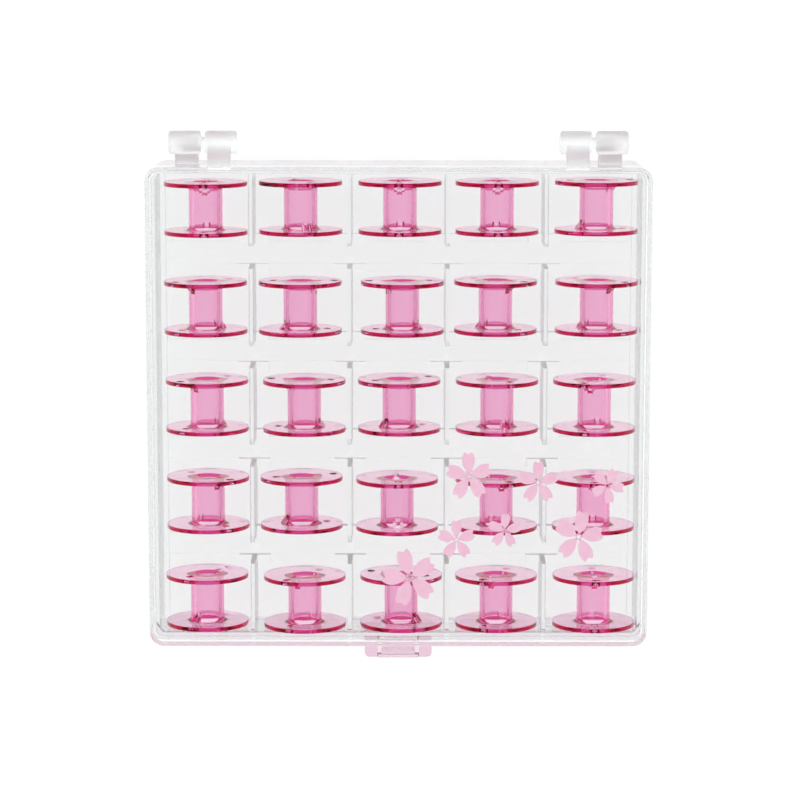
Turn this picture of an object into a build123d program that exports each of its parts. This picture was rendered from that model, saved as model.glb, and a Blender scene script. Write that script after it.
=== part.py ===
from build123d import *
import os

os.makedirs("parts", exist_ok=True)

# A clear hinged box that stores 25 sewing bobbins on edge, in five rows of five.
# Sizes are in millimetres. X runs across the columns, Y from the latch to the hinges, Z up.
# The origin is the middle of the base's underside, and the lid is closed.

# Bobbin
FLANGE_RADIUS = 10.15
FLANGE_THICKNESS = 1.0
BOBBIN_WIDTH = 12.86
CORE_RADIUS = 4.1
BORE_RADIUS = 2.9
MOUTH_RADIUS = 3.15  # the bore's wider ends
MOUTH_DEPTH = 2.0
CORE_FILLET = 1.1
THREAD_HOLE_RADIUS = 1.0
RIM_TO_HOLE = 0.95  # from the rim to the one outer thread hole, beyond the drive slot
CORE_TO_HOLE = 1.4  # from the core to the inner thread hole of each flange
SLOT_WIDTH = 1.2
SLOT_CUT = 2.0  # how far the drive slot reaches out from the mouth, at the bobbin's end face
SLOT_DEPTH = 2.8  # at the mouth; from there the slot's floor slopes up to the end face
SLOT_WALL = 0.65  # round the slot, where it cuts through the core

# Cells. Each holds one bobbin on edge, and the box is as large as its cells need.
ROWS = 5
COLUMNS = 5
CELL_PLAY = 2.3  # between a bobbin's flanges and the dividers' feet, both sides together
END_PLAY = 1.07  # between a bobbin's end and the cross bar in front of it
LANE_WIDTH = 5.45  # between the dividers of one row and the next
REST_GAP = 0.3  # between a flange and the floor
HEADROOM = 1.5  # between a flange and the roof
SIDE_PLAY = 0.8  # between the outer columns' flanges and the lip
BACK_PLAY = 2.02  # between the first row's flanges and the lip
FRONT_PLAY = 0.82  # between the last row's flanges and the lip
DIVIDER_HEIGHT = 13.5
DIVIDER_FOOT = 1.4
DIVIDER_CREST = 1.0
STOP_WIDTH = 7.8  # the cross bars that keep a bobbin in its row
STOP_THICKNESS = 2.0
STOP_HEIGHT = 2.5
STOP_EDGE = 0.4
LAND_HEIGHT = 0.5  # the lane floor between rows is this much higher

# Walls
PARTING_HEIGHT = 15.0  # the lid's skirt ends here, on the base's outer wall
PARTING_GAP = 0.1
CORNER_RADIUS = 3.5
TOP_EDGE_RADIUS = 0.8
BOTTOM_EDGE_RADIUS = 0.5
ROOF_THICKNESS = 1.4
SKIRT_THICKNESS = 1.0
ROOF_FILLET = 0.6
FLOOR_THICKNESS = 1.5
LIP_GAP = 0.15  # between the lid's skirt and the base's lip, all round
LIP_THICKNESS = 0.8
LIP_HEIGHT = 2.5
WALL_LEAN = 0.25  # how far the inner faces close in from the lip down to the floor
FLOOR_FILLET = 0.5
PLINTH_THICKNESS = 1.2  # the low step along the foot of each side wall
PLINTH_HEIGHT = 3.0

# How each bobbin lies in its cell: rolled to the right and slid towards the hinges, in
# millimetres, and turned, in degrees. The first line is the row at the hinges, and each line
# runs from the left column.
ROLLED = (
    (1.0, 0.15, 0.35, 0.0, 0.2),
    (0.8, -0.05, 0.95, -0.25, 0.5),
    (0.95, 0.85, 0.2, 0.25, 0.2),
    (1.0, 0.1, -0.3, 0.2, 0.2),
    (0.6, 0.8, 0.7, 0.3, 0.5),
)
SLID = (
    (-0.35, -0.1, -0.1, -0.1, 0.1),
    (-0.1, -0.1, -0.1, 0.1, 0.1),
    (0.1, 0.0, 0.1, 0.1, 0.1),
    (0.35, 0.35, -0.1, 0.1, 0.1),
    (0.35, -0.1, 0.1, 0.1, 0.1),
)
TURNED = (
    (270, 112, 268, 271, 8),
    (212, 2, 184, 325, 322),
    (222, 173, 28, 117, 249),
    (314, 18, 93, 292, 268),
    (53, 239, 157, 245, 270),
)

# Hinges. The base's barrel is the outer one of each pair.
BARREL_RADIUS = 2.8
BARREL_EDGE = 0.7
HINGE_SETBACK = 5.3  # from the back wall to the hinge axis
HINGE_INSET = 5.3  # from the side wall to the outer barrel's outer end
BASE_BARREL_LENGTH = 7.75
LID_BARREL_LENGTH = 7.7
BARREL_GAP = 1.05
NECK_WIDTH = 5.5
NECK_MARGIN = 0.8  # from the barrels' facing ends to their necks
NECK_ROOT = 6.5  # how far a neck runs down, or up, the wall that it grows from
NECK_GAP = 0.2  # between a neck and the parting plane
NECK_STEP = 0.3  # from a neck out to the barrel's own height
PIN_RADIUS = 1.25
PIN_CLEARANCE = 0.05
PIN_LENGTH = 4.0  # inside the bore
PIN_END_GAP = 0.3

# Latch. The lid's tongue is a hood, open below, with a bar that hooks under the base's catch.
TONGUE_WIDTH = 10.3
TONGUE_REACH = 4.0  # out from the front wall
TONGUE_RISE = 5.0  # above the parting plane
TONGUE_DROP = 3.5  # below the parting plane
TONGUE_FRONT = 0.9
TONGUE_CHEEK = 1.1
TONGUE_ROOF = 1.0
TONGUE_EDGE = 0.5
TONGUE_WALL_GAP = 0.3
HOOK_HEIGHT = 1.2
HOOK_BITE = 0.5
HOOK_PLAY = 0.2
CATCH_FACE = 0.4
CATCH_SIDE_GAP = 0.4
CATCH_FRONT_GAP = 0.4
LEDGE_WIDTH = 16.7
LEDGE_REACH = 5.9
LEDGE_THICKNESS = 2.0
LEDGE_GAP = 0.5
LEDGE_CORNER = 1.2
LEDGE_FLARE = 0.8

# How near a corner has to be to a line to count as lying on it
NEAR = 1e-6

# Sizes and places worked out from the others
LIP_INSET = SKIRT_THICKNESS + LIP_GAP
CAVITY_INSET = LIP_INSET + LIP_THICKNESS
DIVIDER_LENGTH = BOBBIN_WIDTH + 2 * (END_PLAY + STOP_THICKNESS)
COLUMN_PITCH = 2 * FLANGE_RADIUS + DIVIDER_FOOT + CELL_PLAY
ROW_PITCH = DIVIDER_LENGTH + LANE_WIDTH
ROWS_SHIFT = (FRONT_PLAY - BACK_PLAY) / 2
BOX_WIDTH = (COLUMNS - 1) * COLUMN_PITCH + 2 * (FLANGE_RADIUS + SIDE_PLAY + CAVITY_INSET)
BOX_LENGTH = (ROWS - 1) * ROW_PITCH + BOBBIN_WIDTH + BACK_PLAY + FRONT_PLAY + 2 * CAVITY_INSET
BOBBIN_AXIS = FLOOR_THICKNESS + REST_GAP + FLANGE_RADIUS
BOX_HEIGHT = BOBBIN_AXIS + FLANGE_RADIUS + HEADROOM + ROOF_THICKNESS
OUTER_HOLE_OFFSET = FLANGE_RADIUS - RIM_TO_HOLE - THREAD_HOLE_RADIUS
INNER_HOLE_OFFSET = CORE_RADIUS + CORE_TO_HOLE + THREAD_HOLE_RADIUS
SLOT_REACH = MOUTH_RADIUS + SLOT_CUT
BACK_WALL = BOX_LENGTH / 2
FRONT_WALL = -BOX_LENGTH / 2
HINGE_Y = BACK_WALL + HINGE_SETBACK
HINGE_Z = PARTING_HEIGHT
BARREL_OUT = BOX_WIDTH / 2 - HINGE_INSET
BASE_BARREL_IN = BARREL_OUT - BASE_BARREL_LENGTH
LID_BARREL_OUT = BASE_BARREL_IN - BARREL_GAP
LID_BARREL_IN = LID_BARREL_OUT - LID_BARREL_LENGTH
LIP_TOP = PARTING_HEIGHT + LIP_HEIGHT
PLINTH_FACE = BOX_WIDTH / 2 - CAVITY_INSET - WALL_LEAN - PLINTH_THICKNESS
TONGUE_BOTTOM = PARTING_HEIGHT - TONGUE_DROP
HOOK_IN = FRONT_WALL - TONGUE_REACH + TONGUE_FRONT
CATCH_OUT = HOOK_IN + CATCH_FRONT_GAP
LEDGE_TOP = TONGUE_BOTTOM - LEDGE_GAP


def row_y(row):
    """The middle of a row, counted from the hinges."""
    return ROWS_SHIFT + ((ROWS - 1) / 2 - row) * ROW_PITCH


def column_x(column):
    """The middle of a column, counted from the left."""
    return (column - (COLUMNS - 1) / 2) * COLUMN_PITCH


def rounded_outline(inset, height):
    """The box's outline, moved in by inset and up to height."""
    outline = RectangleRounded(BOX_WIDTH - 2 * inset, BOX_LENGTH - 2 * inset, CORNER_RADIUS - inset)
    return Pos(0, 0, height) * outline


def slab(x_low, x_high, y_low, y_high, z_low, z_high):
    """A box between two corners."""
    block = Box(x_high - x_low, y_high - y_low, z_high - z_low)
    return Pos((x_low + x_high) / 2, (y_low + y_high) / 2, (z_low + z_high) / 2) * block


def side_profile(points, x_low, x_high):
    """A plate with an outline in the Y-Z plane."""
    return extrude(Plane.YZ.offset(x_low) * make_face(Polyline(*points, close=True)), x_high - x_low)


def base_cavity():
    """The space inside the base, wider at the lip than at the floor."""
    foot = rounded_outline(CAVITY_INSET + WALL_LEAN, FLOOR_THICKNESS)
    space = loft([foot, rounded_outline(CAVITY_INSET, LIP_TOP)])
    return fillet(space.edges().group_by(Axis.Z)[0], FLOOR_FILLET)


def base_shell():
    """The floor, the outer wall and the lip that stands inside the lid's skirt."""
    wall = extrude(rounded_outline(0, 0), PARTING_HEIGHT)
    wall = fillet(wall.edges().group_by(Axis.Z)[0], BOTTOM_EDGE_RADIUS)
    lip = extrude(rounded_outline(LIP_INSET, 0), LIP_TOP)
    lip = fillet(lip.edges().group_by(Axis.Z)[0], BOTTOM_EDGE_RADIUS)
    return wall + lip - base_cavity()


def divider(x, y):
    """A wall between two cells, thinner at its crest."""
    foot, crest = DIVIDER_FOOT / 2, DIVIDER_CREST / 2
    low, high = FLOOR_THICKNESS / 2, FLOOR_THICKNESS + DIVIDER_HEIGHT
    section = make_face(Polyline((-foot, low), (foot, low), (crest, high), (-crest, high), close=True))
    wall = extrude(Plane.XZ * section, DIVIDER_LENGTH)
    return Pos(x, y + DIVIDER_LENGTH / 2, 0) * wall


def stop_bar(x, y):
    """A low cross bar at a divider's end."""
    height = STOP_HEIGHT + FLOOR_THICKNESS / 2
    bar = Box(STOP_WIDTH, STOP_THICKNESS, height, align=(Align.CENTER, Align.CENTER, Align.MIN))
    bar = chamfer(bar.edges().group_by(Axis.Z)[-1], STOP_EDGE)
    return Pos(x, y, FLOOR_THICKNESS / 2) * bar


def cell_walls():
    """The dividers of every row, their stop bars, the lanes' raised floor and the plinths."""
    inside = base_cavity() + slab(
        -BOX_WIDTH / 2 + LIP_INSET, BOX_WIDTH / 2 - LIP_INSET,
        FRONT_WALL + LIP_INSET, BACK_WALL - LIP_INSET, FLOOR_THICKNESS / 2, FLOOR_THICKNESS,
    )
    walls = []
    stop_offset = (DIVIDER_LENGTH - STOP_THICKNESS) / 2
    for row in range(ROWS):
        for column in range(COLUMNS - 1):
            x = column_x(column) + COLUMN_PITCH / 2
            walls.append(divider(x, row_y(row)))
            if row > 0:
                walls.append(stop_bar(x, row_y(row) + stop_offset))
            if row < ROWS - 1:
                walls.append(stop_bar(x, row_y(row) - stop_offset))
    lane = ROW_PITCH - DIVIDER_LENGTH
    for row in range(ROWS - 1):
        middle = row_y(row) - ROW_PITCH / 2
        walls.append(slab(
            -PLINTH_FACE, PLINTH_FACE, middle - lane / 2, middle + lane / 2,
            FLOOR_THICKNESS / 2, FLOOR_THICKNESS + LAND_HEIGHT,
        ))
    for side in (-1, 1):
        faces = sorted((side * PLINTH_FACE, side * BOX_WIDTH / 2))
        walls.append(slab(
            *faces, FRONT_WALL, BACK_WALL,
            FLOOR_THICKNESS / 2, FLOOR_THICKNESS + PLINTH_HEIGHT,
        ))
    return (Part() + walls) & inside


def barrel(x_in, x_out):
    """A hinge barrel with rounded ends, between two distances from the middle."""
    tube = Rotation(0, 90, 0) * Cylinder(BARREL_RADIUS, x_out - x_in)
    tube = fillet(tube.edges().filter_by(GeomType.CIRCLE), BARREL_EDGE)
    return Pos((x_in + x_out) / 2, HINGE_Y, HINGE_Z) * tube


def neck(x_in, x_out, way):
    """The gusset from a wall to its barrel: way is -1 on the base, below the axis, and 1 on the lid."""
    root = BACK_WALL - SKIRT_THICKNESS / 2
    shoulder = BARREL_RADIUS - NECK_STEP
    points = [
        (root, HINGE_Z + way * NECK_GAP),
        (HINGE_Y, HINGE_Z + way * NECK_GAP),
        (HINGE_Y, HINGE_Z + way * shoulder),
        (root, HINGE_Z + way * NECK_ROOT),
    ]
    return side_profile(points, x_in, x_out)


def base_hinge():
    """The base's barrel of the right-hand pair, with the bore for the lid's pin."""
    neck_in = BASE_BARREL_IN + NECK_MARGIN
    body = barrel(BASE_BARREL_IN, BARREL_OUT) + neck(neck_in, neck_in + NECK_WIDTH, -1)
    depth = PIN_LENGTH + PIN_END_GAP
    bore = Rotation(0, 90, 0) * Cylinder(PIN_RADIUS + PIN_CLEARANCE, depth)
    return body - Pos(BASE_BARREL_IN + depth / 2, HINGE_Y, HINGE_Z) * bore


def lid_hinge():
    """The lid's barrel of the right-hand pair, with the pin moulded on it."""
    neck_out = LID_BARREL_OUT - NECK_MARGIN
    body = barrel(LID_BARREL_IN, LID_BARREL_OUT) + neck(neck_out - NECK_WIDTH, neck_out, 1)
    root = BARREL_GAP + LID_BARREL_LENGTH / 2
    pin = Rotation(0, 90, 0) * Cylinder(PIN_RADIUS, root + PIN_LENGTH)
    start = LID_BARREL_OUT + BARREL_GAP - root
    return body + Pos(start + (root + PIN_LENGTH) / 2, HINGE_Y, HINGE_Z) * pin


def both_sides(piece):
    """A right-hand piece and its left-hand twin."""
    return piece + mirror(piece, about=Plane.YZ)


def thumb_ledge():
    """The ledge below the tongue, flared where it leaves the wall."""
    shelf = Pos(0, FRONT_WALL - LEDGE_REACH / 2) * Rectangle(LEDGE_WIDTH, LEDGE_REACH)
    strip = Pos(0, FRONT_WALL + SKIRT_THICKNESS / 2)
    shelf += strip * Rectangle(LEDGE_WIDTH + 4 * LEDGE_FLARE, SKIRT_THICKNESS)
    corners = shelf.vertices().group_by(Axis.Y)
    shelf = fillet(corners[0], LEDGE_CORNER)
    corners = shelf.vertices().filter_by(lambda v: abs(v.Y - FRONT_WALL) < NEAR)
    corners = corners.filter_by(lambda v: abs(abs(v.X) - LEDGE_WIDTH / 2) < NEAR)
    shelf = fillet(corners, LEDGE_FLARE)
    return extrude(Pos(0, 0, LEDGE_TOP - LEDGE_THICKNESS) * shelf, LEDGE_THICKNESS)


def catch():
    """The wedge that the tongue's bar snaps under."""
    low = TONGUE_BOTTOM + HOOK_HEIGHT + HOOK_PLAY
    points = [
        (FRONT_WALL + SKIRT_THICKNESS, low),
        (CATCH_OUT, low),
        (CATCH_OUT, low + CATCH_FACE),
        (FRONT_WALL, PARTING_HEIGHT - PARTING_GAP),
        (FRONT_WALL + SKIRT_THICKNESS, PARTING_HEIGHT - PARTING_GAP),
    ]
    half = TONGUE_WIDTH / 2 - TONGUE_CHEEK - CATCH_SIDE_GAP
    return side_profile(points, -half, half)


def tongue():
    """The hood over the catch, clear of the base's wall below the parting plane."""
    half = TONGUE_WIDTH / 2
    top = PARTING_HEIGHT + TONGUE_RISE
    hood = slab(
        -half, half, FRONT_WALL - TONGUE_REACH, FRONT_WALL + SKIRT_THICKNESS / 2,
        TONGUE_BOTTOM, top,
    )
    front = hood.faces().sort_by(Axis.Y)[0]
    hood = fillet(front.edges(), TONGUE_EDGE)
    cheek = half - TONGUE_CHEEK
    hood -= slab(-cheek, cheek, HOOK_IN, FRONT_WALL, TONGUE_BOTTOM, top - TONGUE_ROOF)
    low_back = FRONT_WALL - TONGUE_WALL_GAP
    hood -= slab(-half, half, low_back, BACK_WALL, TONGUE_BOTTOM, PARTING_HEIGHT + PARTING_GAP)
    bite = CATCH_OUT + HOOK_BITE - HOOK_IN
    edge = cheek + TONGUE_CHEEK / 2
    bar = slab(
        -edge, edge, HOOK_IN - TONGUE_FRONT / 2, HOOK_IN + bite,
        TONGUE_BOTTOM + TONGUE_EDGE / 2, TONGUE_BOTTOM + HOOK_HEIGHT,
    )
    return hood + bar


def base_tray():
    """The base in one moulding."""
    return base_shell() + cell_walls() + both_sides(base_hinge()) + thumb_ledge() + catch()


def lid():
    """The lid in one moulding."""
    skirt_end = PARTING_HEIGHT + PARTING_GAP
    shell = extrude(rounded_outline(0, skirt_end), BOX_HEIGHT - skirt_end)
    shell = fillet(shell.edges().group_by(Axis.Z)[-1], TOP_EDGE_RADIUS)
    hollow = extrude(rounded_outline(SKIRT_THICKNESS, skirt_end), BOX_HEIGHT - ROOF_THICKNESS - skirt_end)
    hollow = fillet(hollow.edges().group_by(Axis.Z)[-1], ROOF_FILLET)
    return shell - hollow + both_sides(lid_hinge()) + tongue()


def spool():
    """The bobbin's round body: two flanges on a hollow core, about the Y axis."""
    half, inner = BOBBIN_WIDTH / 2, BOBBIN_WIDTH / 2 - FLANGE_THICKNESS
    section = make_face(Polyline(
        (BORE_RADIUS, -half), (FLANGE_RADIUS, -half), (FLANGE_RADIUS, -inner), (CORE_RADIUS, -inner),
        (CORE_RADIUS, inner), (FLANGE_RADIUS, inner), (FLANGE_RADIUS, half), (BORE_RADIUS, half),
        close=True,
    ))
    core_corners = section.vertices().filter_by(lambda v: abs(v.X - CORE_RADIUS) < NEAR)
    return revolve(fillet(core_corners, CORE_FILLET), Axis.Y)


def sloped_wedge(inside, reach, start, width):
    """A wedge below the +Y end face, bounded by the slope of the drive slot's floor."""
    end = BOBBIN_WIDTH / 2
    slope = SLOT_DEPTH / SLOT_CUT
    outline = [
        (inside, end - start),
        (reach - start / slope, end - start),
        (inside, end - (reach - inside) * slope),
    ]
    face = make_face(Polyline(*outline, close=True))
    return extrude(Pos(0, 0, -width / 2) * face, width)


def slot_bulge():
    """The wedge on the core that walls in the drive slot."""
    inside = (BORE_RADIUS + CORE_RADIUS) / 2
    width = SLOT_WIDTH + 2 * SLOT_WALL
    return sloped_wedge(inside, SLOT_REACH + SLOT_WALL, FLANGE_THICKNESS / 2, width)


def drive_slot():
    """The cut beside the bore that a winder's peg drops into."""
    return sloped_wedge(BORE_RADIUS / 2, SLOT_REACH, 0, SLOT_WIDTH)


def mouth():
    """The bore's wider end, open to the +Y end face."""
    return Pos(0, BOBBIN_WIDTH / 2, 0) * (Rotation(90, 0, 0) * Cylinder(MOUTH_RADIUS, 2 * MOUTH_DEPTH))


def thread_hole(x):
    """A hole through the +Y flange."""
    drill = Rotation(90, 0, 0) * Cylinder(THREAD_HOLE_RADIUS, 2 * FLANGE_THICKNESS)
    return Pos(x, BOBBIN_WIDTH / 2, 0) * drill


def bobbin():
    """A bobbin with a drive slot at each end, and opposite it a thread hole in the flange."""
    body = spool()
    ends = [Rotation(0, 0, turn) for turn in (0, 180)]
    for end in ends:
        body += end * slot_bulge()
    body -= Rotation(90, 0, 0) * Cylinder(BORE_RADIUS, BOBBIN_WIDTH)
    for end in ends:
        body -= end * (mouth() + drive_slot() + thread_hole(-INNER_HOLE_OFFSET))
    return body - thread_hole(OUTER_HOLE_OFFSET)


def placed_bobbin(shape, row, column):
    """A bobbin on edge in its cell, as it lies there."""
    turned = Rotation(0, TURNED[row][column], 0) * shape
    x = column_x(column) + ROLLED[row][column]
    y = row_y(row) + SLID[row][column]
    return Pos(x, y, BOBBIN_AXIS) * turned


def main():
    """Writes one file for each moulded piece."""
    pieces = {"base_tray": base_tray(), "lid": lid()}
    shape = bobbin()
    for row in range(ROWS):
        for column in range(COLUMNS):
            name = f"bobbin_r{row + 1}_c{column + 1}"
            pieces[name] = placed_bobbin(shape, row, column)
    for name, piece in pieces.items():
        piece.label = name
        export_step(piece, f"parts/{name}.step")


main()
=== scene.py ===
import math

import bmesh
import bpy
from mathutils import Matrix, Vector


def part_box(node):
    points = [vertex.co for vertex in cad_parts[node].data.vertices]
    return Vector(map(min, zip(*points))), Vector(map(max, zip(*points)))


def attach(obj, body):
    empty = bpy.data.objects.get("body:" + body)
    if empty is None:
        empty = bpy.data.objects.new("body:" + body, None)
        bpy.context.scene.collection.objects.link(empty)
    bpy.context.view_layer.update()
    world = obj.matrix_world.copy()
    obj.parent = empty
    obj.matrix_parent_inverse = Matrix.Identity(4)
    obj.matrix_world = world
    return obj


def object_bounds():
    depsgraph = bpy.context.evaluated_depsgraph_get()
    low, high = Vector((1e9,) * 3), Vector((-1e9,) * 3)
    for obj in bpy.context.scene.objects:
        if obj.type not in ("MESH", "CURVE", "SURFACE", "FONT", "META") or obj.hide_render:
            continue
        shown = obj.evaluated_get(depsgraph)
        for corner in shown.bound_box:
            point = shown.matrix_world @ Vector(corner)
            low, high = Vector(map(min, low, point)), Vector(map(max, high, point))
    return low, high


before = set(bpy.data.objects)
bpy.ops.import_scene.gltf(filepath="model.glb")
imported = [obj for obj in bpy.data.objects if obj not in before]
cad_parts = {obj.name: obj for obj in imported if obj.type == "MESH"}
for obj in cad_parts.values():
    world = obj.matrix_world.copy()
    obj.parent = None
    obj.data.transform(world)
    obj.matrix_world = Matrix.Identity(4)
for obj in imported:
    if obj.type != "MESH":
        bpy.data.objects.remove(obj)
cad_low, cad_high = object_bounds()
scene = bpy.context.scene

# Camera, in metres and degrees
CAMERA_PLACE = (0.0004, 0.1093, 0.7230)
CAMERA_TILT = 8.70  # from straight down, towards the latch
CAMERA_ROLL = 0.05
CAMERA_LENS = 131.4
SENSOR = 36.0

# Light paths: a ray crosses the lid, two or three walls of a bobbin and the tray, and bounces inside them
BOUNCES = 32
CLEAR_BOUNCES = 24
INSIDE_BOUNCES = 20

# Studio, in metres and watts. Light levels of 1 render as white.
FLOOR_SIZE = 6.0
FLOOR_GAP = 0.0001  # below the box
FLOOR_GREY = 0.20
FLOOR_SEEN = 0.84  # added to what the lamps give
FLOOR_THROUGH = 0.945  # the same, in reflections and through clear plastic
WORLD_LIGHT = 0.75  # on matt surfaces
WORLD_SIDES = 1.0  # in reflections and through clear plastic, at the horizon
WORLD_ABOVE = 0.05  # the same, overhead, where the room behind the camera is dark
WORLD_FALL = (0.15, 0.75)  # the sines of the heights between which the sides' light falls off
WORLD_SEEN = 1.0
LAMP_SIZE = 1.0
LAMPS = {
    "lamp_left": ((-0.80, 0.45, 0.75), 4.5),
    "lamp_right": ((0.85, 0.10, 0.70), 2.55),
    "lamp_front": ((-0.15, -0.95, 0.55), 2.35),
}

# Plastics. The density of what they absorb is in parts per metre.
STYRENE_IOR = 1.59
CLEAR_ABSORBED = (0.15, 0.55, 0.45)
CLEAR_DENSITY = 3.0
CLEAR_TINT = (0.993, 1.0, 1.0)
CLEAR_WAVES = 0.000004
CLEAR_WAVE_SEED = 4.0
PINK_ABSORBED = (0.945, 0.22, 0.625)
PINK_DENSITY = 380.0
PINK_TINT = (1.0, 0.99, 0.995)
PINK_ROUGH = (0.01, 0.04)
PINK_WAVES = 0.00002
PINK_WAVE_SEED = 5.0
PINK_SMEAR_SEED = 2.0
PINK_SHINE = (0.10, 0.0, 0.02)  # what straight-on reflections keep
SHADOW_SHARE = 0.94  # what a shadow ray keeps at each surface
SMEAR_SCALE = 90
WAVE_SCALE = 160
WAVE_DETAIL = 2
FINE_DETAIL = 4
SEED_WAY = (1.0, 0.7, 0.3)  # a seed moves the noise this way
NOISE_ENDS = (0.3, 0.7)  # nearly all the noise lies between these
MIDDLE = (0.5, 0.5, 0.5)  # of a piece, in shares of its size
WHITE = (1, 1, 1, 1)

# The box's plastic: its roughness on level and on upright faces, on the dividers and at the hinges
LEVEL_ROUGH = 0.06
UPRIGHT_ROUGH = 0.08
DIVIDER_ROUGH = 0.30
HINGE_ROUGH = 0.60
CELLS = (0.0578, 0.0555)  # half the width and half the length of the space that the dividers stand in
HINGE_START = 0.0588  # the back wall's outer face
LEVEL_TURN = (0.3, 0.9)  # how level a face is, as its normal's Z, from upright to level

# Its painted pink light: light from the last row of bobbins, painted into the box's colour low in the front wall, at
# the ledge and at the tongue
FRONT_PAINTED_PINK_LIGHT = (0.95, 0.82, 0.88)
FRONT_START = -0.0567  # the inner face of the lip
FRONT_TOP = 0.0152
FRONT_LEVEL = 0.6  # only on faces that are more level than this
LEDGE_PAINTED_PINK_LIGHT = (0.83, 0.60, 0.72)
LEDGE_START = -0.0588  # the front wall's outer face
LEDGE_TOP = 0.0112
TONGUE_PAINTED_PINK_LIGHT = (1.0, 0.92, 0.96)
TONGUE_HALF = 0.00515

# Painted shade in each bobbin, as darker rings round the shoulders in the bore and at the rims: places are shares of
# its width from the middle, or of its diameter from the axis
RING_PLACE = 0.3445
RING_HALF_WIDTH = 0.02
RING_RADIUS = 0.149
RING_DEPTH = 0.02
SHOULDER_PAINTED_SHADE = (0.80, 0.35, 0.58)
RIM_RADIUS = 0.5
RIM_DEPTH = 0.008
RIM_PAINTED_SHADE = (0.78, 0.70, 0.84)

# Blossom print on the lid: each blossom's centre in mm, its petals' reach in mm and its turn in degrees
BLOSSOMS = (
    (17.15, -16.27, 5.6, 2),
    (33.99, -17.75, 4.9, 0),
    (50.80, -18.52, 4.1, -26),
    (14.19, -31.96, 4.6, 1),
    (25.89, -29.68, 4.0, -4),
    (43.95, -31.14, 6.0, -10),
    (2.82, -41.36, 6.7, 16),
)
PRINT_STRETCH = 1.08  # the print is this much longer than wide
PETALS = 5
PETAL_HALF = (  # a petal's right half, in shares of its reach, from the blossom's middle to the tip
    (0.0, 0.09), (0.065, 0.16), (0.165, 0.30), (0.243, 0.46),
    (0.275, 0.62), (0.262, 0.79), (0.215, 0.92), (0.165, 1.0),
)
PETAL_NOTCH = 0.90
PETAL_STEPS = 4
EYE_OUTER = 0.125  # the printed ring in the blossom's middle
EYE_INNER = 0.080
EYE_STEPS = 24
PRINT_DEPTH = 0.00002  # below the lid's top face, in metres
PRINT_THICKNESS = 0.00002
INK_RAMP = ((0.35, (0.935, 0.625, 0.770)), (0.65, (0.960, 0.685, 0.805)))  # where in the noise, and the colour there
INK_SCALE = 900
INK_SEED = 5
INK_ROUGH = 0.5
INK_GRAIN_SCALE = 4000
INK_GRAIN_SEED = 9
INK_GRAIN = 0.000004
MM = 0.001


# Node helpers
def new_tree(name):
    """A material, its node tree and its output node."""
    material = bpy.data.materials.new(name)
    material.use_nodes = True
    tree = material.node_tree
    tree.nodes.clear()
    return material, tree, tree.nodes.new("ShaderNodeOutputMaterial")


def feed(tree, socket, value):
    """Links an output to an input, or gives the input a value of its own."""
    if isinstance(value, bpy.types.NodeSocket):
        tree.links.new(value, socket)
    else:
        socket.default_value = value


def math_node(tree, operation, *values):
    """A value worked out from others, which are outputs or numbers."""
    node = tree.nodes.new("ShaderNodeMath")
    node.operation = operation
    for socket, value in zip(node.inputs, values):
        feed(tree, socket, value)
    return node.outputs["Value"]


def both(tree, first, second):
    """1 where both values are 1."""
    return math_node(tree, "MULTIPLY", first, second)


def near(tree, value, place, reach):
    """1 where a value is within reach of a place."""
    return math_node(tree, "COMPARE", value, place, reach)


def vector_node(tree, operation, first, second=None):
    """A vector node fed with one output, and with one fixed vector where it takes two."""
    node = tree.nodes.new("ShaderNodeVectorMath")
    node.operation = operation
    tree.links.new(first, node.inputs[0])
    if second:
        node.inputs[1].default_value = second
    return node


def noise(tree, scale, detail, seed):
    """Noise over the object's own coordinates."""
    place = tree.nodes.new("ShaderNodeTexCoord")
    mapping = tree.nodes.new("ShaderNodeMapping")
    mapping.inputs["Location"].default_value = Vector(SEED_WAY) * seed
    node = tree.nodes.new("ShaderNodeTexNoise")
    node.inputs["Scale"].default_value = scale
    node.inputs["Detail"].default_value = detail
    tree.links.new(place.outputs["Object"], mapping.inputs["Vector"])
    tree.links.new(mapping.outputs["Vector"], node.inputs["Vector"])
    return node.outputs["Fac"]


def bump(tree, height, depth):
    node = tree.nodes.new("ShaderNodeBump")
    node.inputs["Distance"].default_value = depth
    tree.links.new(height, node.inputs["Height"])
    return node.outputs["Normal"]


def spread(tree, value, low, high, ends=(0, 1)):
    """A value between two ends, stretched to run from low to high."""
    node = tree.nodes.new("ShaderNodeMapRange")
    node.inputs["From Min"].default_value, node.inputs["From Max"].default_value = ends
    feed(tree, node.inputs["To Min"], low)
    feed(tree, node.inputs["To Max"], high)
    tree.links.new(value, node.inputs["Value"])
    return node.outputs["Result"]


def tinted(tree, share, first, second):
    """The first colour, or output, where the share is 0, and the second colour where it is 1."""
    node = tree.nodes.new("ShaderNodeMix")
    node.data_type = "RGBA"
    below, above = (socket for socket in node.inputs if socket.type == "RGBA")
    tree.links.new(share, node.inputs["Factor"])
    feed(tree, below, (*first, 1) if isinstance(first, tuple) else first)
    feed(tree, above, (*second, 1))
    return next(socket for socket in node.outputs if socket.type == "RGBA")


def distance(tree, along):
    """How far a point is from the middle of its piece, along the axes that are 1, in shares of the piece's size."""
    place = tree.nodes.new("ShaderNodeTexCoord")
    offset = vector_node(tree, "SUBTRACT", place.outputs["Generated"], MIDDLE).outputs["Vector"]
    picked = vector_node(tree, "MULTIPLY", offset, along).outputs["Vector"]
    return vector_node(tree, "LENGTH", picked).outputs["Value"]


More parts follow.
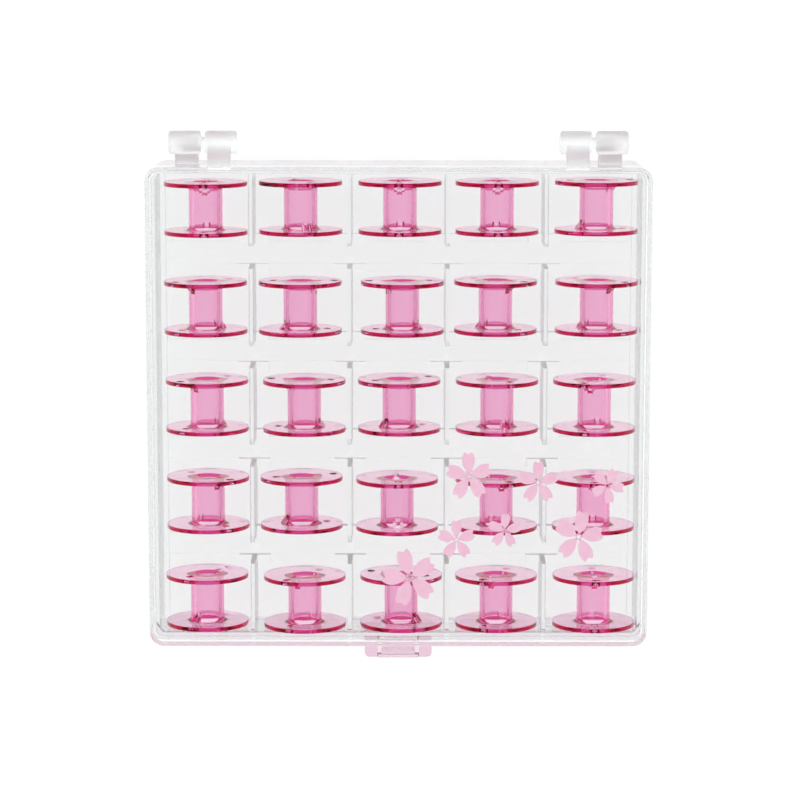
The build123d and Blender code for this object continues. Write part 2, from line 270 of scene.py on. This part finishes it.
# Materials
def clear_plastic(name, tint, absorbed, density, wave, seed):
    """Polished transparent plastic, tinted by its thickness. Returns the material, its tree and its shader."""
    material, tree, output = new_tree(name)
    shader = tree.nodes.new("ShaderNodeBsdfPrincipled")
    shader.inputs["Base Color"].default_value = (*tint, 1)
    shader.inputs["Transmission Weight"].default_value = 1.0
    shader.inputs["IOR"].default_value = STYRENE_IOR
    tree.links.new(bump(tree, noise(tree, WAVE_SCALE, WAVE_DETAIL, seed), wave), shader.inputs["Normal"])

    volume = tree.nodes.new("ShaderNodeVolumeAbsorption")
    volume.inputs["Color"].default_value = (*absorbed, 1)
    volume.inputs["Density"].default_value = density
    tree.links.new(volume.outputs["Volume"], output.inputs["Volume"])

    through = tree.nodes.new("ShaderNodeBsdfTransparent")
    through.inputs["Color"].default_value = (*(SHADOW_SHARE * share for share in tint), 1)
    path = tree.nodes.new("ShaderNodeLightPath")
    mix = tree.nodes.new("ShaderNodeMixShader")
    tree.links.new(path.outputs["Is Shadow Ray"], mix.inputs["Fac"])
    tree.links.new(shader.outputs["BSDF"], mix.inputs[1])
    tree.links.new(through.outputs["BSDF"], mix.inputs[2])
    tree.links.new(mix.outputs["Shader"], output.inputs["Surface"])
    return material, tree, shader


def pink_plastic():
    """The bobbins' plastic, with painted shade that darkens it at the rims and round the shoulders in the bore."""
    material, tree, shader = clear_plastic(
        "pink_styrene", PINK_TINT, PINK_ABSORBED, PINK_DENSITY, PINK_WAVES, PINK_WAVE_SEED,
    )
    shader.inputs["Specular Tint"].default_value = (*PINK_SHINE, 1)
    smears = noise(tree, SMEAR_SCALE, FINE_DETAIL, PINK_SMEAR_SEED)
    tree.links.new(spread(tree, smears, *PINK_ROUGH, NOISE_ENDS), shader.inputs["Roughness"])
    radius = distance(tree, (1, 0, 1))
    # painted shade: the base colour is darker round the shoulders in the bore and at the rims
    along = near(tree, distance(tree, (0, 1, 0)), RING_PLACE, RING_HALF_WIDTH)
    painted_shoulder_shade_mask = both(tree, along, near(tree, radius, RING_RADIUS, RING_DEPTH))
    colour = tinted(tree, painted_shoulder_shade_mask, PINK_TINT, SHOULDER_PAINTED_SHADE)
    colour = tinted(tree, near(tree, radius, RIM_RADIUS, RIM_DEPTH), colour, RIM_PAINTED_SHADE)
    tree.links.new(colour, shader.inputs["Base Color"])
    return material


def box_roughness(tree, where, level):
    """The box's roughness: softer on the dividers' upright faces, and softest at the hinges."""
    inside = both(tree, near(tree, where["X"], 0, CELLS[0]), near(tree, where["Y"], 0, CELLS[1]))
    upright = spread(tree, inside, UPRIGHT_ROUGH, DIVIDER_ROUGH)
    hinge = spread(tree, math_node(tree, "GREATER_THAN", where["Y"], HINGE_START), 0, HINGE_ROUGH)
    return math_node(tree, "MAXIMUM", spread(tree, level, upright, LEVEL_ROUGH, LEVEL_TURN), hinge)


def box_colour_with_painted_pink_light(tree, where, level):
    """The box's colour, with painted pink light from the last row of bobbins: a little pink low in the front wall,
    at the ledge and at the tongue.
    """
    # painted pink light from the bobbins, low in the front wall, at the ledge and at the tongue
    low = math_node(tree, "LESS_THAN", where["Z"], FRONT_TOP)
    front = both(tree, low, math_node(tree, "LESS_THAN", where["Y"], FRONT_START))
    front = both(tree, front, math_node(tree, "GREATER_THAN", level, FRONT_LEVEL))
    colour = tinted(tree, front, CLEAR_TINT, FRONT_PAINTED_PINK_LIGHT)
    latch = math_node(tree, "LESS_THAN", where["Y"], LEDGE_START)
    ledge = both(tree, latch, math_node(tree, "LESS_THAN", where["Z"], LEDGE_TOP))
    colour = tinted(tree, ledge, colour, LEDGE_PAINTED_PINK_LIGHT)
    return tinted(tree, both(tree, latch, near(tree, where["X"], 0, TONGUE_HALF)), colour, TONGUE_PAINTED_PINK_LIGHT)


def box_plastic():
    """The tray's and the lid's plastic."""
    material, tree, shader = clear_plastic(
        "clear_styrene", CLEAR_TINT, CLEAR_ABSORBED, CLEAR_DENSITY, CLEAR_WAVES, CLEAR_WAVE_SEED,
    )
    place = tree.nodes.new("ShaderNodeTexCoord")
    facing = tree.nodes.new("ShaderNodeSeparateXYZ")
    tree.links.new(place.outputs["Normal"], facing.inputs["Vector"])
    level = math_node(tree, "ABSOLUTE", facing.outputs["Z"])
    where = tree.nodes.new("ShaderNodeSeparateXYZ")
    tree.links.new(place.outputs["Object"], where.inputs["Vector"])
    tree.links.new(box_roughness(tree, where.outputs, level), shader.inputs["Roughness"])
    # the base colour carries the painted pink light from the bobbins
    tree.links.new(box_colour_with_painted_pink_light(tree, where.outputs, level), shader.inputs["Base Color"])
    return material


def print_ink():
    """The blossoms' opaque pale ink, a little uneven."""
    material, tree, output = new_tree("blossom_ink")
    shader = tree.nodes.new("ShaderNodeBsdfPrincipled")
    ramp = tree.nodes.new("ShaderNodeValToRGB")
    for element, (place, colour) in zip(ramp.color_ramp.elements, INK_RAMP):
        element.position = place
        element.color = (*colour, 1)
    tree.links.new(noise(tree, INK_SCALE, FINE_DETAIL, INK_SEED), ramp.inputs["Fac"])
    tree.links.new(ramp.outputs["Color"], shader.inputs["Base Color"])
    shader.inputs["Roughness"].default_value = INK_ROUGH
    grain = noise(tree, INK_GRAIN_SCALE, WAVE_DETAIL, INK_GRAIN_SEED)
    tree.links.new(bump(tree, grain, INK_GRAIN), shader.inputs["Normal"])
    tree.links.new(shader.outputs["BSDF"], output.inputs["Surface"])
    return material


def floor_material():
    """A pale floor that keeps shadows, and that the camera, reflections and clear plastic see as white."""
    material, tree, output = new_tree("studio_floor")
    matt = tree.nodes.new("ShaderNodeBsdfDiffuse")
    matt.inputs["Color"].default_value = (FLOOR_GREY, FLOOR_GREY, FLOOR_GREY, 1)
    path = tree.nodes.new("ShaderNodeLightPath").outputs
    through = math_node(tree, "MAXIMUM", path["Is Glossy Ray"], path["Is Transmission Ray"])
    glow = tree.nodes.new("ShaderNodeEmission")
    glow.inputs["Color"].default_value = WHITE
    level = spread(tree, path["Is Camera Ray"], math_node(tree, "MULTIPLY", through, FLOOR_THROUGH), FLOOR_SEEN)
    tree.links.new(level, glow.inputs["Strength"])
    added = tree.nodes.new("ShaderNodeAddShader")
    tree.links.new(matt.outputs["BSDF"], added.inputs[0])
    tree.links.new(glow.outputs["Emission"], added.inputs[1])
    tree.links.new(added.outputs["Shader"], output.inputs["Surface"])
    return material


# Studio
def lay_floor():
    """A wide flat floor just under the box."""
    half = FLOOR_SIZE / 2
    mesh = bpy.data.meshes.new("studio_floor")
    mesh.from_pydata([(-half, -half, 0), (half, -half, 0), (half, half, 0), (-half, half, 0)], [], [(0, 1, 2, 3)])
    mesh.materials.append(floor_material())
    floor = bpy.data.objects.new("studio_floor", mesh)
    floor.location.z = cad_low.z - FLOOR_GAP
    scene.collection.objects.link(floor)


def light_world():
    """A white room that is dark overhead for reflections."""
    world = bpy.data.worlds.new("studio")
    scene.world = world
    world.use_nodes = True
    tree = world.node_tree
    tree.nodes.clear()
    place = tree.nodes.new("ShaderNodeTexCoord")
    split = tree.nodes.new("ShaderNodeSeparateXYZ")
    tree.links.new(place.outputs["Generated"], split.inputs["Vector"])
    path = tree.nodes.new("ShaderNodeLightPath").outputs
    shine = spread(tree, split.outputs["Z"], WORLD_SIDES, WORLD_ABOVE, WORLD_FALL)
    lit = spread(tree, math_node(tree, "MINIMUM", path["Diffuse Depth"], 1), shine, WORLD_LIGHT)
    sky = tree.nodes.new("ShaderNodeBackground")
    sky.inputs["Color"].default_value = WHITE
    tree.links.new(spread(tree, path["Is Camera Ray"], lit, WORLD_SEEN), sky.inputs["Strength"])
    output = tree.nodes.new("ShaderNodeOutputWorld")
    tree.links.new(sky.outputs["Background"], output.inputs["Surface"])


def hang_lamps():
    """Three soft lamps that point at the box."""
    for name, (place, power) in LAMPS.items():
        data = bpy.data.lights.new(name, "AREA")
        data.size = LAMP_SIZE
        data.energy = power
        lamp = bpy.data.objects.new(name, data)
        lamp.location = place
        lamp.rotation_euler = (-Vector(place)).to_track_quat("-Z", "Y").to_euler()
        scene.collection.objects.link(lamp)


def set_camera():
    """The camera, above the box and behind it."""
    data = bpy.data.cameras.new("camera")
    data.lens = CAMERA_LENS
    data.sensor_width = SENSOR
    camera = bpy.data.objects.new("camera", data)
    camera.location = CAMERA_PLACE
    turn = Matrix.Rotation(math.radians(-CAMERA_TILT), 4, "X") @ Matrix.Rotation(math.radians(CAMERA_ROLL), 4, "Z")
    camera.rotation_euler = turn.to_euler()
    scene.collection.objects.link(camera)
    scene.camera = camera


# Blossom print
def smooth_line(points, steps):
    """A Catmull-Rom line through points."""
    ends = [points[0], *points, points[-1]]
    line = []
    for i in range(len(points) - 1):
        p0, p1, p2, p3 = (Vector(p) for p in ends[i:i + 4])
        for k in range(steps):
            t = k / steps
            a = 2 * p1 + (p2 - p0) * t + (2 * p0 - 5 * p1 + 4 * p2 - p3) * t ** 2
            line.append((a + (3 * p1 - p0 - 3 * p2 + p3) * t ** 3) / 2)
    return line + [Vector(points[-1])]


def petal(turn):
    """One petal's outline, heart-notched at its tip, for a blossom of reach 1."""
    right = smooth_line(PETAL_HALF, PETAL_STEPS)
    points = right + [Vector((0, PETAL_NOTCH))] + [Vector((-p.x, p.y)) for p in reversed(right[1:])]
    spin = Matrix.Rotation(turn, 2)
    return [spin @ p for p in points]


def eye():
    """The ring in the middle of a blossom of reach 1, as one strip of four-cornered pieces."""
    turns = [2 * math.pi * k / EYE_STEPS for k in range(EYE_STEPS + 1)]
    points = [Vector((math.cos(turn), math.sin(turn))) for turn in turns]
    return [[EYE_OUTER * a, EYE_OUTER * b, EYE_INNER * b, EYE_INNER * a] for a, b in zip(points, points[1:])]


def flat_piece(outlines, low, high):
    """Thin plates with the given outlines, between two heights."""
    bm = bmesh.new()
    for outline in outlines:
        top = [bm.verts.new((x, y, high)) for x, y in outline]
        bottom = [bm.verts.new((x, y, low)) for x, y in outline]
        bm.faces.new(top)
        bm.faces.new(list(reversed(bottom)))
        for i in range(len(outline)):
            j = (i + 1) % len(outline)
            bm.faces.new((bottom[i], bottom[j], top[j], top[i]))
    bmesh.ops.recalc_face_normals(bm, faces=bm.faces)
    bmesh.ops.triangulate(bm, faces=[f for f in bm.faces if len(f.verts) > 4])
    mesh = bpy.data.meshes.new("blossom")
    bm.to_mesh(mesh)
    bm.free()
    return mesh


def blossoms():
    """The seven printed blossoms, just inside the lid's top face."""
    ink = print_ink()
    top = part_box("lid")[1].z - PRINT_DEPTH
    for number, (x, y, reach, turn) in enumerate(BLOSSOMS, 1):
        outlines = [petal(math.radians(turn) + 2 * math.pi * i / PETALS) for i in range(PETALS)] + eye()
        mesh = flat_piece(outlines, top - PRINT_THICKNESS, top)
        mesh.transform(Matrix.Diagonal((reach * MM, reach * MM * PRINT_STRETCH, 1, 1)))
        mesh.transform(Matrix.Translation((x * MM, y * MM, 0)))
        mesh.materials.append(ink)
        piece = bpy.data.objects.new(f"blossom_{number}", mesh)
        scene.collection.objects.link(piece)
        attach(piece, "lid")


def dress():
    """Gives every CAD node its plastic."""
    clear, pink = box_plastic(), pink_plastic()
    for name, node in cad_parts.items():
        node.data.materials.clear()
        node.data.materials.append(pink if name.startswith("bobbin") else clear)


scene.view_settings.view_transform = "Standard"
scene.cycles.max_bounces = BOUNCES
scene.cycles.transmission_bounces = CLEAR_BOUNCES
scene.cycles.glossy_bounces = INSIDE_BOUNCES
scene.cycles.transparent_max_bounces = CLEAR_BOUNCES
scene.cycles.use_denoising = True

lay_floor()
light_world()
hang_lamps()
set_camera()
dress()
blossoms()
